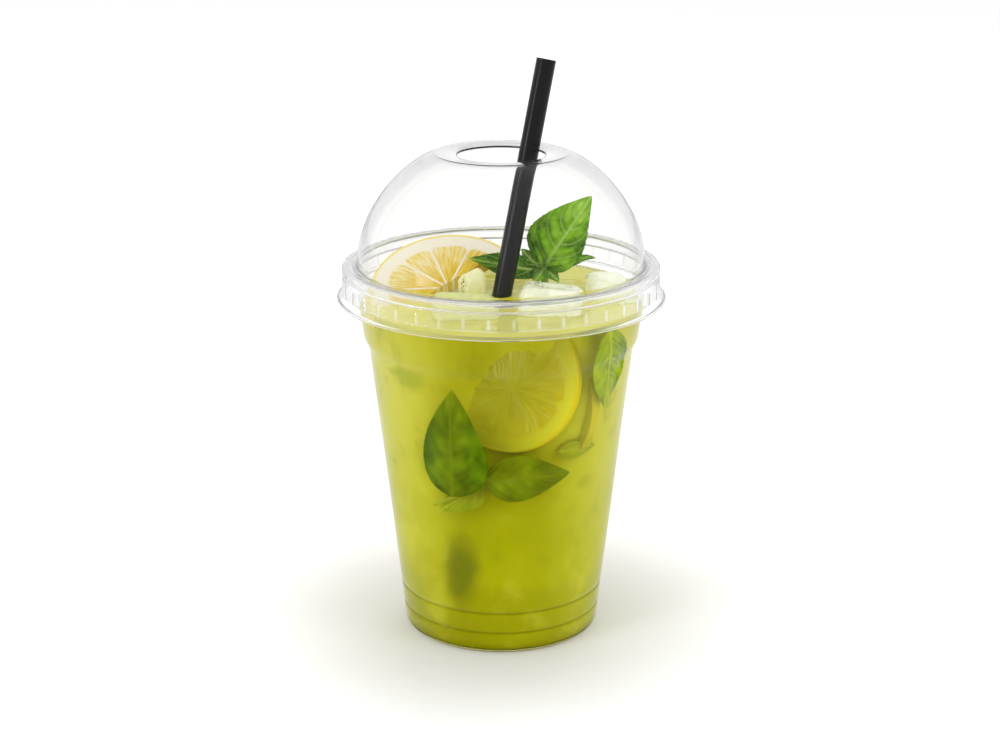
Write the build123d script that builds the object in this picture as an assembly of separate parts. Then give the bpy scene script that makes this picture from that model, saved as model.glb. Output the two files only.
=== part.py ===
"""Iced lemonade in a clear takeaway cup with a domed lid, a straw, lemon, ice and basil.

Millimetres, +Z up. The origin is the middle of the cup's foot, on the table.
Each piece is one solid, written to parts/NODE.step.
"""
from build123d import *
from math import cos, pi, sin, sqrt
import os

# ---------------------------------------------------------------- driving dimensions
# Cup: a thermoformed tapered body, a wider band under a rolled rim
cup_height = 116.3
cup_wall = 0.7
foot_radius = 30.3
body_top_radius = 40.7
shoulder_bottom = 91.3
shoulder_top = 94.3
band_bottom_radius = 42.2
rim_radius = 47.7
rim_roll = 1.8            # outer radius of the rolled rim's section
foot_recess = 3.0         # how far the floor stands above the table
foot_ring_width = 4.7     # ring that the cup stands on, with its slope up to the floor
foot_recess_slope = 1.5   # how far that slope leans
cup_outer_corners = (0.8, 0.6, 1.8, 2.5, 2.0)  # floor, ring, foot, shoulder's two ends
cup_inner_corners = (0.8, 0.6, 1.2, 2.0, 2.5)
ring_heights = (7.1, 13.9)
ring_depth = 0.3
ring_height = 0.9

# Lid: dome with a sipping hole, a flat flange, a bead over the rim and a ribbed skirt
lid_wall = 0.55
lid_fit = 0.25            # air between the lid and the rolled rim
dome_rise = 33.8
dome_radius = 43.85
dome_crown_radius = 19.9  # the flat crown, where the curve starts
dome_fullness = (1.487, 1.027)  # powers of the outline: how square its shoulder is
hole_radius = 13.4
hole_dip = 0.7            # the crown sinks this much towards the hole
dome_steps = 12
flange_drop = 0.4         # the flange at the dome lies this much under the bead
skirt_height = 10.9       # bead top to skirt bottom
skirt_flare = 1.6
bead_corner = 1.6
skirt_corner = 1.0
groove_depth = 0.25
groove_below_bead = 2.7
rib_count = 42
rib_width = 1.2
rib_proud = 0.5
rib_top_below_bead = 5.0
rib_bottom_below_bead = 8.3
lip_radius = 0.45

# Straw: stands on the floor and leans on the edge of the hole
straw_diameter = 6.0
straw_wall = 0.35
straw_length = 177.3
straw_lean_angle = 33.8   # direction of the hole's edge it leans on, from +X
straw_foot_angle = 220.2  # direction of its foot from the cup's axis
straw_foot_gap = 2.0      # from the straw to the wall, at the foot
straw_clearance = 0.15

# Drink
drink_level = 106.5

# Lemon: half a round slice, tilted, its lower end in the drink
lemon_radius = 24.2
lemon_thickness = 5.0
lemon_centre = (-16.0, -4.5, 3.3)     # middle of the whole slice's upper face, Z above the level
lemon_tilt = (28.2, -2.1)             # far edge up, then right edge down
lemon_cut_angle = 39.4                # direction of the straight cut, in the slice
lemon_cut_offset = 2.0                # from the slice's middle to the cut
lemon_edge_round = 0.6

# Ice: middle x, middle y and the top's height above the level, then (length, width, height),
# turn about Z, tilt about X and Y
ice_round = 3.6
ice_cubes = {
    "ice_front": ((-10.2, -20.6, 3.9), (20.0, 17.5, 17.0), 6.0, (7.0, 5.0)),
    "ice_middle": ((-11.9, -4.8, 8.1), (14.5, 8.5, 14.0), 36.5, (4.0, -6.0)),
    "ice_centre": ((15.6, -14.4, 6.7), (19.5, 19.0, 17.0), -6.0, (-6.0, 6.0)),
    "ice_right": ((33.6, -1.4, 5.4), (13.2, 19.0, 16.5), 10.0, (5.0, 6.0)),
}
ice_round_share = 0.42    # most of a cube's shortest side that its melted edge takes
ice_dimple_share = 0.25   # radius of the dimple, of the top's shorter side
ice_dimple_depth = 0.9

# Basil: a sprig's top, its stem in the drink. Each leaf is (tip from the stem's head,
# way the blade faces, widths left and right of its midrib, rise of its curve)
sprig_head = (13.3, 8.2, 5.5)         # Z above the level
sprig_stem_length = 9.0
sprig_stem_radius = 1.1
sprig_head_radius = 1.9
leaf_thickness = 0.7
# One edge of a leaf, from base to tip: shares of its length and of its half width
leaf_edge_shares = ((0.07, 0.55), (0.34, 1.0), (0.78, 0.5))
leaves = (
    ((14.3, -2.6, 23.9), (-0.25, -1.0, 0.25), (10.3, 8.0), 2.2),
    ((-23.1, -6.4, 5.2), (0.05, 0.8, -0.6), (5.2, 3.6), 1.5),
    ((-7.2, 2.8, 6.0), (-0.3, -0.9, 0.3), (2.8, 2.8), 0.8),
    ((16.2, 4.0, 2.8), (0.0, -0.3, 1.0), (4.3, 4.3), 1.2),
    ((-6.2, 2.6, 1.0), (0.0, -0.5, 0.9), (2.6, 2.6), 0.6),
)

# ---------------------------------------------------------------- worked out from them
floor_top = foot_recess + cup_wall
roll_middle_z = cup_height - rim_roll
wall_top_radius = rim_radius - 2 * rim_roll + cup_wall
bead_top = cup_height + lid_fit + lid_wall
bead_radius = rim_radius + lid_fit + lid_wall
flange_z = bead_top - flange_drop
crown_z = flange_z + dome_rise


def ring_section(points, corners):
    """Face in the XZ plane between the Z axis and a rounded line that starts on it."""
    line = FilletPolyline(*points, radius=corners)
    closing = Polyline(points[-1], (0, points[-1][1]), points[0])
    return make_face(Plane.XZ * (line + closing))


def turned(section):
    return revolve(section, Axis.Z)


# ---------------------------------------------------------------- cup
def body_radius(z):
    """Outer radius of the tapered body at a height."""
    return foot_radius + (body_top_radius - foot_radius) * z / shoulder_bottom


def inside_section():
    """Everything inside the cup's wall, from the floor to the top of the wall."""
    wall = cup_wall
    floor_radius = foot_radius - foot_ring_width + wall
    points = [
        (0, floor_top),
        (floor_radius, floor_top),
        (floor_radius + foot_recess_slope, wall),
        (body_radius(wall) - wall, wall),
        (body_top_radius - wall, shoulder_bottom),
        (band_bottom_radius - wall, shoulder_top),
        (wall_top_radius - wall, roll_middle_z),
    ]
    return ring_section(points, cup_inner_corners)


def outside_section():
    """Everything inside the cup's outer surface, over the recess under its floor."""
    recess_radius = foot_radius - foot_ring_width
    points = [
        (0, foot_recess),
        (recess_radius, foot_recess),
        (recess_radius + foot_recess_slope, 0),
        (foot_radius, 0),
        (body_top_radius, shoulder_bottom),
        (band_bottom_radius, shoulder_top),
        (wall_top_radius, roll_middle_z),
    ]
    return ring_section(points, cup_outer_corners)


def rolled_rim_section():
    """The curl at the rim: three quarters of a ring, open on its lower inner side."""
    middle = (rim_radius - rim_roll, roll_middle_z)
    ring = Circle(rim_roll) - Circle(rim_roll - cup_wall)
    opening = Pos(-rim_roll, -rim_roll) * Rectangle(2 * rim_roll, 2 * rim_roll)
    return Plane.XZ * Pos(*middle) * (ring - opening)


def foot_rings():
    """Two shallow grooves round the foot of the wall."""
    grooves = []
    for z in ring_heights:
        r = body_radius(z)
        section = Pos(r, z) * Ellipse(ring_depth, ring_height / 2)
        grooves.append(turned(Plane.XZ * section))
    return grooves


def cup():
    wall = outside_section() - inside_section()
    solid = turned(wall) + turned(rolled_rim_section())
    for groove in foot_rings():
        solid = solid - groove
    return solid


# ---------------------------------------------------------------- lid
def dome_line(inset):
    """The dome's outline from its foot to its crown, moved inwards by inset."""
    reach = dome_radius - inset - dome_crown_radius
    rise = dome_rise - inset
    power_r, power_z = dome_fullness
    points = []
    for i in range(dome_steps + 1):
        t = pi / 2 * i / dome_steps
        cosine = max(cos(t), 0.0)
        r = dome_crown_radius + reach * cosine**power_r
        points.append((r, flange_z + rise * sin(t) ** power_z))
    return Spline(*points, tangents=[(0, 1), (-1, 0)])


def lid_section():
    wall = lid_wall
    hole_z = crown_z - hole_dip
    flare_z = bead_top - rib_bottom_below_bead
    foot_z = bead_top - skirt_height
    inner = bead_radius - wall
    outside = [
        (dome_radius, flange_z),
        (bead_radius, bead_top),
        (bead_radius, flare_z),
        (bead_radius + skirt_flare, foot_z),
    ]
    inside = [
        (inner + skirt_flare, foot_z),
        (inner, flare_z),
        (inner, bead_top - wall),
        (dome_radius - wall, flange_z - wall),
    ]
    lines = Line((hole_radius, hole_z), (dome_crown_radius, crown_z))
    lines += dome_line(0)
    lines += FilletPolyline(*outside, radius=[bead_corner, skirt_corner])
    lines += Line(outside[-1], inside[0])
    lines += FilletPolyline(*inside, radius=[skirt_corner, bead_corner - wall])
    lines += Line(inside[-1], (dome_radius - wall, flange_z))
    lines += dome_line(wall)
    lines += Line((dome_crown_radius, crown_z - wall), (hole_radius, hole_z - wall))
    lines += Line((hole_radius, hole_z - wall), (hole_radius, hole_z))
    return make_face(Plane.XZ * lines)


def lid():
    section = lid_section()
    groove = Pos(bead_radius, bead_top - groove_below_bead) * Circle(groove_depth)
    lip_x = bead_radius + skirt_flare - lip_radius / 2
    lip = Pos(lip_x, bead_top - skirt_height + lip_radius / 2) * Circle(lip_radius)
    section = section - Plane.XZ * groove + Plane.XZ * lip
    solid = turned(section)
    rib_height = rib_bottom_below_bead - rib_top_below_bead
    rib_depth = rib_proud + lid_wall / 2
    rib = Box(rib_depth, rib_width, rib_height, align=(Align.MIN, Align.CENTER, Align.MAX))
    start = Pos(bead_radius - lid_wall / 2, 0, bead_top - rib_top_below_bead)
    ribs = [Rot(0, 0, 360 * i / rib_count) * start * rib for i in range(rib_count)]
    return solid + ribs


# ---------------------------------------------------------------- straw
def at_angle(distance, angle, z):
    return Vector(distance, 0, z).rotate(Axis.Z, angle)


def straw_line():
    """Foot and direction of the straw's axis."""
    r = straw_diameter / 2
    foot_r = body_radius(floor_top) - cup_wall - r - straw_foot_gap
    hole_z = crown_z - hole_dip
    lean_r = hole_radius - straw_clearance - r
    foot = at_angle(foot_r, straw_foot_angle, floor_top)
    tilt = (at_angle(lean_r, straw_lean_angle, hole_z) - foot).normalized()
    foot += Vector(0, 0, r * sqrt(1 - tilt.Z**2) + straw_clearance)
    lean_r -= r / tilt.Z - r
    lean = at_angle(lean_r, straw_lean_angle, hole_z)
    return foot, (lean - foot).normalized()


def straw_rod(radius):
    foot, way = straw_line()
    base = Plane(origin=foot, z_dir=way)
    return base * Cylinder(radius, straw_length, align=(Align.CENTER, Align.CENTER, Align.MIN))


def straw():
    return straw_rod(straw_diameter / 2) - straw_rod(straw_diameter / 2 - straw_wall)


def afloat(place):
    """A place given by its height above the drink's level."""
    x, y, above = place
    return x, y, drink_level + above


# ---------------------------------------------------------------- lemon slice
def lemon_slice():
    """Half a round slice. Its upper face lies in the tilted plane, its cut faces the straw."""
    disc_align = (Align.CENTER, Align.CENTER, Align.MAX)
    disc = Cylinder(lemon_radius, lemon_thickness, align=disc_align)
    disc = fillet(disc.edges().filter_by(GeomType.CIRCLE), lemon_edge_round)
    half_box = Box(3 * lemon_radius, 2 * lemon_radius, 3 * lemon_thickness,
                   align=(Align.CENTER, Align.MIN, Align.CENTER))
    half = disc & (Rot(0, 0, lemon_cut_angle) * Pos(0, lemon_cut_offset, 0) * half_box)
    far_up, right_down = lemon_tilt
    return Pos(*afloat(lemon_centre)) * Rot(far_up, right_down, 0) * half


# ---------------------------------------------------------------- ice
def ice_cube(top_middle, size, turn, tilt):
    """A cube with melted edges and a shallow dimple in its top."""
    length, width, height = size
    block = Box(length, width, height, align=(Align.CENTER, Align.CENTER, Align.MAX))
    block = fillet(block.edges(), min(ice_round, ice_round_share * min(size)))
    dimple = ice_dimple_share * min(length, width)
    ball_radius = (dimple**2 + ice_dimple_depth**2) / (2 * ice_dimple_depth)
    block = block - Pos(0, 0, ball_radius - ice_dimple_depth) * Sphere(ball_radius)
    return Pos(*afloat(top_middle)) * Rot(tilt[0], tilt[1], turn) * block


# ---------------------------------------------------------------- basil
def leaf_edge(length, reach):
    """One edge of a basil leaf: broad near its base, drawn out to a tip."""
    points = [(along * length, out * reach) for along, out in leaf_edge_shares]
    return Spline((0, 0), *points, (length, 0))


def leaf(tip, facing, widths, rise):
    """A blade bent along its length, from the sprig's head to its tip."""
    along = Vector(*tip)
    length = along.length
    span = 2 * max(widths)
    bend = (length**2 / 4 + rise**2) / (2 * rise)
    outer = Cylinder(bend + leaf_thickness / 2, 2 * span)
    inner = Cylinder(bend - leaf_thickness / 2, 3 * span)
    shell = Pos(length / 2, 0, rise - bend) * Rot(90, 0, 0) * (outer - inner)
    outline = leaf_edge(length, widths[0]) + leaf_edge(length, -widths[1])
    blank = extrude(make_face(outline), bend, both=True)
    above = Box(2 * length, 2 * span, bend, align=(Align.CENTER, Align.CENTER, Align.MIN))
    blade = shell & blank & (Pos(length / 2, 0, -leaf_thickness) * above)
    across = Vector(*facing).cross(along)
    return Plane(origin=afloat(sprig_head), x_dir=along, z_dir=along.cross(across)) * blade


def basil_sprig():
    sprig = Pos(*afloat(sprig_head)) * Sphere(sprig_head_radius)
    stem_align = (Align.CENTER, Align.CENTER, Align.MAX)
    stem = Cylinder(sprig_stem_radius, sprig_stem_length, align=stem_align)
    sprig += Pos(*afloat(sprig_head)) * stem
    for values in leaves:
        sprig += leaf(*values)
    return sprig


# ---------------------------------------------------------------- drink
def drink(pieces):
    """The cup's inside up to the level, cut round everything that dips into it."""
    above = Pos(0, drink_level + cup_height) * Rectangle(4 * rim_radius, 2 * cup_height)
    solid = turned(inside_section() - Plane.XZ * above)
    for piece in pieces:
        solid = solid - piece
    return solid - straw_rod(straw_diameter / 2)


def main():
    os.makedirs("parts", exist_ok=True)
    in_drink = {"lemon_slice": lemon_slice(), "basil_sprig": basil_sprig()}
    for name, values in ice_cubes.items():
        in_drink[name] = ice_cube(*values)
    nodes = {"cup": cup(), "lid": lid(), "straw": straw(), "drink": drink(in_drink.values())}
    nodes.update(in_drink)
    for name, solid in nodes.items():
        export_step(solid, f"parts/{name}.step")


main()
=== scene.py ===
"""Looks of the iced lemonade in its clear takeaway cup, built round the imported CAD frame.

Sizes here are millimetres, as in the CAD source, and turn into metres when a mesh is made.
"""
from math import cos, hypot, pi, radians, sin
import bmesh
import bpy
import numpy as np
from mathutils import Matrix, Vector, noise


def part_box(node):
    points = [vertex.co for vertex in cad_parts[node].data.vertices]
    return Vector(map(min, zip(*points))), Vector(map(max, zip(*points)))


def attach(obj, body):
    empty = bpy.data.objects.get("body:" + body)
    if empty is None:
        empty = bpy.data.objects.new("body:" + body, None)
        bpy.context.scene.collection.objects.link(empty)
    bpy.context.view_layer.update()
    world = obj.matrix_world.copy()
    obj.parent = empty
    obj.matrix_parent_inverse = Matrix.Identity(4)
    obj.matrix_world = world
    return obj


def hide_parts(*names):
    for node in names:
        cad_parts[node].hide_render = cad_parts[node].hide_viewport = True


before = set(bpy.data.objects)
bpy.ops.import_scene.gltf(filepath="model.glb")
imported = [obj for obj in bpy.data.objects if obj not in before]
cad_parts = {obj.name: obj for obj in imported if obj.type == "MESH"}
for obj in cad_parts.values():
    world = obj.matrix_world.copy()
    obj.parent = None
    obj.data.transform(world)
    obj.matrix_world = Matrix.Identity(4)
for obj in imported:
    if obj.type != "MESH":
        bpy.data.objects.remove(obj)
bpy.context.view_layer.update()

MM = 0.001

# ---- sizes, as in the CAD
CUP_HEIGHT = 116.3
CUP_WALL = 0.7
FOOT_RADIUS = 30.3
BODY_TOP_RADIUS = 40.7
SHOULDER_BOTTOM = 91.3
SHOULDER_TOP = 94.3
BAND_RADIUS = 42.2
RIM_RADIUS = 47.7
RIM_ROLL = 1.8
FOOT_RECESS = 3.0
FOOT_RING_WIDTH = 4.7
FOOT_SLOPE = 1.5
RING_HEIGHTS = (7.1, 13.9)
RING_DEPTH = 0.3
RING_HEIGHT = 0.9
LID_WALL = 0.55
LID_FIT = 0.25
DOME_RISE = 33.8
DOME_RADIUS = 43.85
CROWN_RADIUS = 19.9
DOME_FULLNESS = (1.487, 1.027)
HOLE_RADIUS = 13.4
HOLE_DIP = 0.7
FLANGE_DROP = 0.4
SKIRT_HEIGHT = 10.9
SKIRT_FLARE = 1.6
BEAD_CORNER = 1.6
GROOVE_DEPTH = 0.25
GROOVE_BELOW_BEAD = 2.7
RIB_COUNT = 42
RIB_WIDTH = 1.2
RIB_PROUD = 0.5
RIB_TOP = 5.0
RIB_BOTTOM = 8.3
LIP_RADIUS = 0.45
LEVEL = 106.5
ROLL_Z = CUP_HEIGHT - RIM_ROLL
WALL_TOP_RADIUS = RIM_RADIUS - 2 * RIM_ROLL + CUP_WALL
BEAD_TOP = CUP_HEIGHT + LID_FIT + LID_WALL
BEAD_RADIUS = RIM_RADIUS + LID_FIT + LID_WALL
FLANGE_Z = BEAD_TOP - FLANGE_DROP
CROWN_Z = FLANGE_Z + DOME_RISE

MOST_BOUNCES = 7.5        # a clear piece bends no ray that has already met this many surfaces


# ---- shader helpers
def srgb(r, g, b):
    """A colour of the photo's scale, 0 to 255, as the shader's linear RGBA."""
    def linear(c):
        c = c / 255
        return c / 12.92 if c <= 0.04045 else ((c + 0.055) / 1.055) ** 2.4
    return (linear(r), linear(g), linear(b), 1.0)


def new_material(name):
    """An empty material, and its node tree."""
    made = bpy.data.materials.new(name)
    made.use_nodes = True
    made.node_tree.nodes.clear()
    return made, made.node_tree


def add(tree, kind, inputs=None, **settings):
    """Adds a shader node. Each input is a constant or another node's output."""
    made = tree.nodes.new("ShaderNode" + kind)
    for key, value in settings.items():
        setattr(made, key, value)
    for key, value in (inputs or {}).items():
        if isinstance(value, bpy.types.NodeSocket):
            tree.links.new(value, made.inputs[key])
        else:
            made.inputs[key].default_value = value
    return made


def bsdf(tree, kind, inputs):
    return add(tree, "Bsdf" + kind, inputs).outputs[0]


def maths(tree, operation, a, b=0.0, c=0.0):
    return add(tree, "Math", {0: a, 1: b, 2: c}, operation=operation).outputs[0]


def blend(tree, share, a, b, kind="MIX"):
    made = add(tree, "Mix", {0: share, 6: a, 7: b}, data_type="RGBA", blend_type=kind)
    return made.outputs[2]


def step_map(tree, value, low, high, out_low=0.0, out_high=1.0):
    """Smooth step of a value between two limits."""
    made = add(tree, "MapRange", {0: value, 1: low, 2: high, 3: out_low, 4: out_high},
               interpolation_type="SMOOTHSTEP")
    return made.outputs[0]


def ramp(tree, value, stops):
    made = add(tree, "ValToRGB", {0: value})
    band = made.color_ramp
    while len(band.elements) < len(stops):
        band.elements.new(0.5)
    for element, (place, colour) in zip(band.elements, stops):
        element.position = place
        element.color = colour
    return made.outputs[0]


def noise_of(tree, vector, scale, detail=3.0, roughness=0.5):
    made = add(tree, "TexNoise", {"Vector": vector, "Scale": scale, "Detail": detail,
                                  "Roughness": roughness})
    return made.outputs[0]


def place_of(tree):
    """The point's place in the shared frame, in metres."""
    return add(tree, "TexCoord").outputs["Object"]


def height_of(tree):
    return add(tree, "SeparateXYZ", {0: place_of(tree)}).outputs[2]


def attribute(tree, name, output="Fac"):
    return add(tree, "Attribute", attribute_name=name).outputs[output]


def bumped(tree, height, strength, distance):
    made = add(tree, "Bump", {"Height": height, "Strength": strength, "Distance": distance})
    return made.outputs[0]


def mixed(tree, share, a, b):
    return add(tree, "MixShader", {0: share, 1: a, 2: b}).outputs[0]


def finish_material(tree, shader):
    add(tree, "OutputMaterial", {"Surface": shader})


def lets_light_in(tree, shader, tint):
    """Rays from lamps, diffuse bounces and long chains of bounces pass straight through."""
    path = add(tree, "LightPath").outputs
    either = maths(tree, "MAXIMUM", path["Is Shadow Ray"], path["Is Diffuse Ray"])
    late = maths(tree, "GREATER_THAN", path["Ray Depth"], MOST_BOUNCES)
    clear = bsdf(tree, "Transparent", {"Color": tint})
    return mixed(tree, maths(tree, "MAXIMUM", either, late), shader, clear)


# ---- colours
WALL_AT_FOOT = 0.0296     # inner radius of the cup at the table, in metres
WALL_SLOPE = 0.1139       # how much it widens for each metre up
FOG_DEPTH = 0.0055        # depth in the cloudy drink at which a thing is mostly hidden
SIDE_FOG = 0.0036         # the same for the side slice, which shows less,
LEAF_FOG = 0.0075         # for the dark leaves, which show more,
ICE_FOG = 0.006           # for the sunk ice
STRAW_FOG = 0.03          # and for the straw
STRAW_FADE = (0.094, 0.088)    # the straw goes out of sight between these heights,
ICE_FADE = (0.096, 0.103)      # and the sunk ice shows more and more between these


def place_and_radius(tree):
    """(x, y, z) sockets, and the distance from the axis."""
    parts = add(tree, "SeparateXYZ", {0: place_of(tree)}).outputs
    squares = maths(tree, "ADD", maths(tree, "MULTIPLY", parts[0], parts[0]),
                    maths(tree, "MULTIPLY", parts[1], parts[1]))
    return parts, maths(tree, "SQRT", squares)


def fog_share(tree, depth=FOG_DEPTH):
    """0 at the cup's wall, rising towards 1 with depth in the drink."""
    parts, radius = place_and_radius(tree)
    wall = maths(tree, "MULTIPLY_ADD", parts[2], WALL_SLOPE, WALL_AT_FOOT)
    sunk = maths(tree, "SUBTRACT", LEVEL * MM, parts[2])
    below = maths(tree, "MINIMUM", maths(tree, "SUBTRACT", wall, radius), sunk)
    below = maths(tree, "MAXIMUM", below, 0.0)
    kept = maths(tree, "EXPONENT", maths(tree, "MULTIPLY", below, -1 / depth))
    return maths(tree, "SUBTRACT", 1.0, kept)


def drink_colour_with_painted_light(tree):
    """Cloudy yellow-green with painted light: darker near the foot and in the middle, paler to the
    top and sides, where light shines through the drink.
    """
    place = place_of(tree)
    parts, radius = place_and_radius(tree)
    height = maths(tree, "DIVIDE", parts[2], LEVEL * MM)
    drift = maths(tree, "SUBTRACT", noise_of(tree, place, 26.0, 3.0), 0.5)
    height = maths(tree, "ADD", height, maths(tree, "MULTIPLY", drift, 0.35))
    # Painted light: the colour grows paler from the foot to the top.
    deep = ramp(tree, height, [
        (0.0, srgb(152, 150, 2)), (0.16, srgb(166, 164, 3)), (0.30, srgb(172, 172, 4)),
        (0.55, srgb(182, 181, 8)), (0.80, srgb(190, 186, 24)), (1.0, srgb(205, 200, 60))])
    pale = ramp(tree, height, [
        (0.0, srgb(160, 160, 8)), (0.25, srgb(192, 192, 18)), (0.6, srgb(206, 205, 60)),
        (1.0, srgb(216, 213, 92))])
    # Painted light: paler towards the sides, where light crosses less drink.
    side_glow = maths(tree, "DIVIDE", maths(tree, "ABSOLUTE", parts[0]),
                     maths(tree, "MAXIMUM", radius, 0.001))
    blotch = maths(tree, "MULTIPLY_ADD", noise_of(tree, place, 45.0, 4.0), 0.5, -0.25)
    share = step_map(tree, maths(tree, "ADD", side_glow, blotch), 0.35, 1.0)
    colour = blend(tree, share, deep, pale)
    clouds = noise_of(tree, place, 75.0, 6.0, 0.62)
    colour = blend(tree, step_map(tree, clouds, 0.50, 0.72, 0.0, 0.5), colour,
                           srgb(214, 213, 64))
    return blend(tree, step_map(tree, clouds, 0.48, 0.30, 0.0, 0.4), colour,
                         srgb(140, 148, 2))


def fogged(tree, colour, depth=FOG_DEPTH, blue=0.14):
    """A sunk thing's colour: the drink takes out its blue, then hides it with depth."""
    filtered = blend(tree, 1.0, colour, (0.97, 0.95, blue, 1.0), "MULTIPLY")
    return blend(tree, fog_share(tree, depth), filtered, drink_colour_with_painted_light(tree))


# ---- materials
def painted_ring_shade(tree, colour):
    """The cup's colour near its foot: painted shade as a dark line in each ring, and the drink's
    light painted into the foot below.
    """
    height = height_of(tree)
    # Painted shade: a dark line along each ring's groove.
    for ring in RING_HEIGHTS:
        off = maths(tree, "ABSOLUTE", maths(tree, "SUBTRACT", height, ring * MM))
        line = step_map(tree, off, 0.0007, 0.0002, 0.0, 0.75)
        colour = blend(tree, line, colour, srgb(206, 208, 110))
    # Painted light: the drink's colour, as seen through the plastic, painted into the foot.
    foot = step_map(tree, height, 0.0045, 0.0005, 0.0, 0.8)
    return blend(tree, foot, colour, srgb(236, 232, 150))


def lid_haze_and_highlight(tree):
    """How milky the lid looks, partly the plastic's own milkiness and partly painted reflections
    and highlights: faint in the dome, more in the skirt and bead, most in the ribs.
    """
    parts, away = place_and_radius(tree)
    height = parts[2]
    rib_foot = BEAD_TOP - RIB_BOTTOM
    haze_and_highlight = step_map(tree, height, (FLANGE_Z - 0.5) * MM, (FLANGE_Z - 3.0) * MM, 0.006, 0.07)
    # Painted highlight: white on the ribs.
    rib = step_map(tree, away, (BEAD_RADIUS + 0.04) * MM, (BEAD_RADIUS + 0.25) * MM, 0.0, 0.5)
    ribbed = step_map(tree, height, (rib_foot - 0.5) * MM, rib_foot * MM)
    # Painted highlight: a white band just under the bead's top.
    high = step_map(tree, height, (BEAD_TOP - 2.6) * MM, (BEAD_TOP - 1.4) * MM, 0.0, 0.13)
    wide = step_map(tree, away, (DOME_RADIUS + 1.2) * MM, (DOME_RADIUS + 2.6) * MM)
    haze_and_highlight = maths(tree, "ADD", haze_and_highlight, maths(tree, "MULTIPLY", rib, ribbed))
    return maths(tree, "ADD", haze_and_highlight, maths(tree, "MULTIPLY", high, wide))


def clear_plastic(name, tint, edge, band, ringed=False):
    """Thin clear plastic, greyer where the wall is seen edge on, within a band of facings.

    The cup has painted shade at its rings and painted drink light at its foot. The lid is milky in
    places, partly painted highlight, and is greyed near its crown by painted shade.
    """
    made, tree = new_material(name)
    facing = add(tree, "LayerWeight", {"Blend": 0.5}).outputs["Facing"]
    colour = blend(tree, step_map(tree, facing, band[0], band[1]), tint, edge)
    if ringed:
        colour = painted_ring_shade(tree, colour)
    else:
        # Painted shade: the lid greys near its crown.
        crown = step_map(tree, height_of(tree), (CROWN_Z - 2.0) * MM, (CROWN_Z - 0.6) * MM)
        colour = blend(tree, crown, colour, (0.94, 0.94, 0.95, 1.0))
    waves = noise_of(tree, place_of(tree), 60.0, 2.0)
    plastic = bsdf(tree, "Principled", {
        "Base Color": colour, "Roughness": 0.0, "IOR": 1.45, "Transmission Weight": 1.0,
        "Specular Tint": (0.03, 0.03, 0.03, 1),
        "Normal": bumped(tree, waves, 0.05, 0.001)})
    if not ringed:
        # White milkiness, partly painted highlight and reflection.
        white = bsdf(tree, "Diffuse", {"Color": (0.95, 0.95, 0.95, 1)})
        plastic = mixed(tree, lid_haze_and_highlight(tree), plastic, white)
    finish_material(tree, lets_light_in(tree, plastic, (0.98, 0.98, 0.98, 1)))
    return made


def straw_black():
    """Black plastic with a lengthwise sheen, hidden by the drink below its level."""
    made, tree = new_material("straw_black")
    grain = noise_of(tree, place_of(tree), 900.0, 2.0)
    deep = step_map(tree, height_of(tree), *STRAW_FADE)
    fog = maths(tree, "MAXIMUM", fog_share(tree, STRAW_FOG), deep)
    black = blend(tree, grain, srgb(8, 8, 9), srgb(14, 14, 15))
    colour = blend(tree, fog, black, drink_colour_with_painted_light(tree))
    rough = step_map(tree, grain, 0.2, 0.8, 0.23, 0.27)
    plastic = bsdf(tree, "Principled", {
        "Base Color": colour, "Roughness": rough, "IOR": 1.5, "Specular IOR Level": 0.22,
        "Anisotropic": 0.75, "Anisotropic Rotation": 0.25,
        "Normal": bumped(tree, grain, 0.01, 0.0002)})
    finish_material(tree, plastic)
    return made


def lemonade_skin():
    """The clear outer few millimetres of the drink."""
    made, tree = new_material("lemonade_clear")
    place = place_of(tree)
    ripple = noise_of(tree, place, 90.0, 2.0)
    cloud = noise_of(tree, place, 40.0, 3.0)
    tint = blend(tree, cloud, srgb(253, 253, 225), srgb(250, 251, 205))
    liquid = bsdf(tree, "Principled", {
        "Base Color": tint, "Roughness": 0.0, "IOR": 1.333, "Transmission Weight": 1.0,
        "Specular Tint": (0.06, 0.06, 0.06, 1),
        "Normal": bumped(tree, ripple, 0.08, 0.002)})
    finish_material(tree, lets_light_in(tree, liquid, srgb(253, 253, 235)))
    return made


def lemonade_cloud():
    """The cloudy inside of the drink, with soft dark places. Lamps shine partly through it."""
    made, tree = new_material("lemonade_cloudy")
    place = place_of(tree)
    colour = drink_colour_with_painted_light(tree)
    pulp = noise_of(tree, place, 420.0, 3.0, 0.6)
    pulp_share = step_map(tree, pulp, 0.60, 0.80, 0.0, 0.35)
    colour = blend(tree, pulp_share, colour, srgb(218, 216, 60))
    for middle, reach, most, shade in SOFT_SHADES:
        near = add(tree, "VectorMath", {0: place, 1: middle}, operation="SUBTRACT").outputs[0]
        scaled = add(tree, "VectorMath", {0: near, 1: reach}, operation="DIVIDE").outputs[0]
        out = add(tree, "VectorMath", {0: scaled}, operation="LENGTH").outputs["Value"]
        frayed = maths(tree, "MULTIPLY_ADD", noise_of(tree, place, 160.0, 3.0), 0.5, -0.25)
        dark = step_map(tree, maths(tree, "ADD", out, frayed), 1.0, 0.3, 0.0, most)
        colour = blend(tree, dark, colour, srgb(*shade))
    cloud = bsdf(tree, "Principled", {
        "Base Color": colour, "Roughness": 0.6, "Specular IOR Level": 0.0,
        "Normal": bumped(tree, pulp, 0.15, 0.001)})
    path = add(tree, "LightPath").outputs
    glow = bsdf(tree, "Transparent", {"Color": srgb(250, 236, 60)})
    some = maths(tree, "MULTIPLY", path["Is Shadow Ray"], 0.55)
    finish_material(tree, mixed(tree, some, cloud, glow))
    return made


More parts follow.
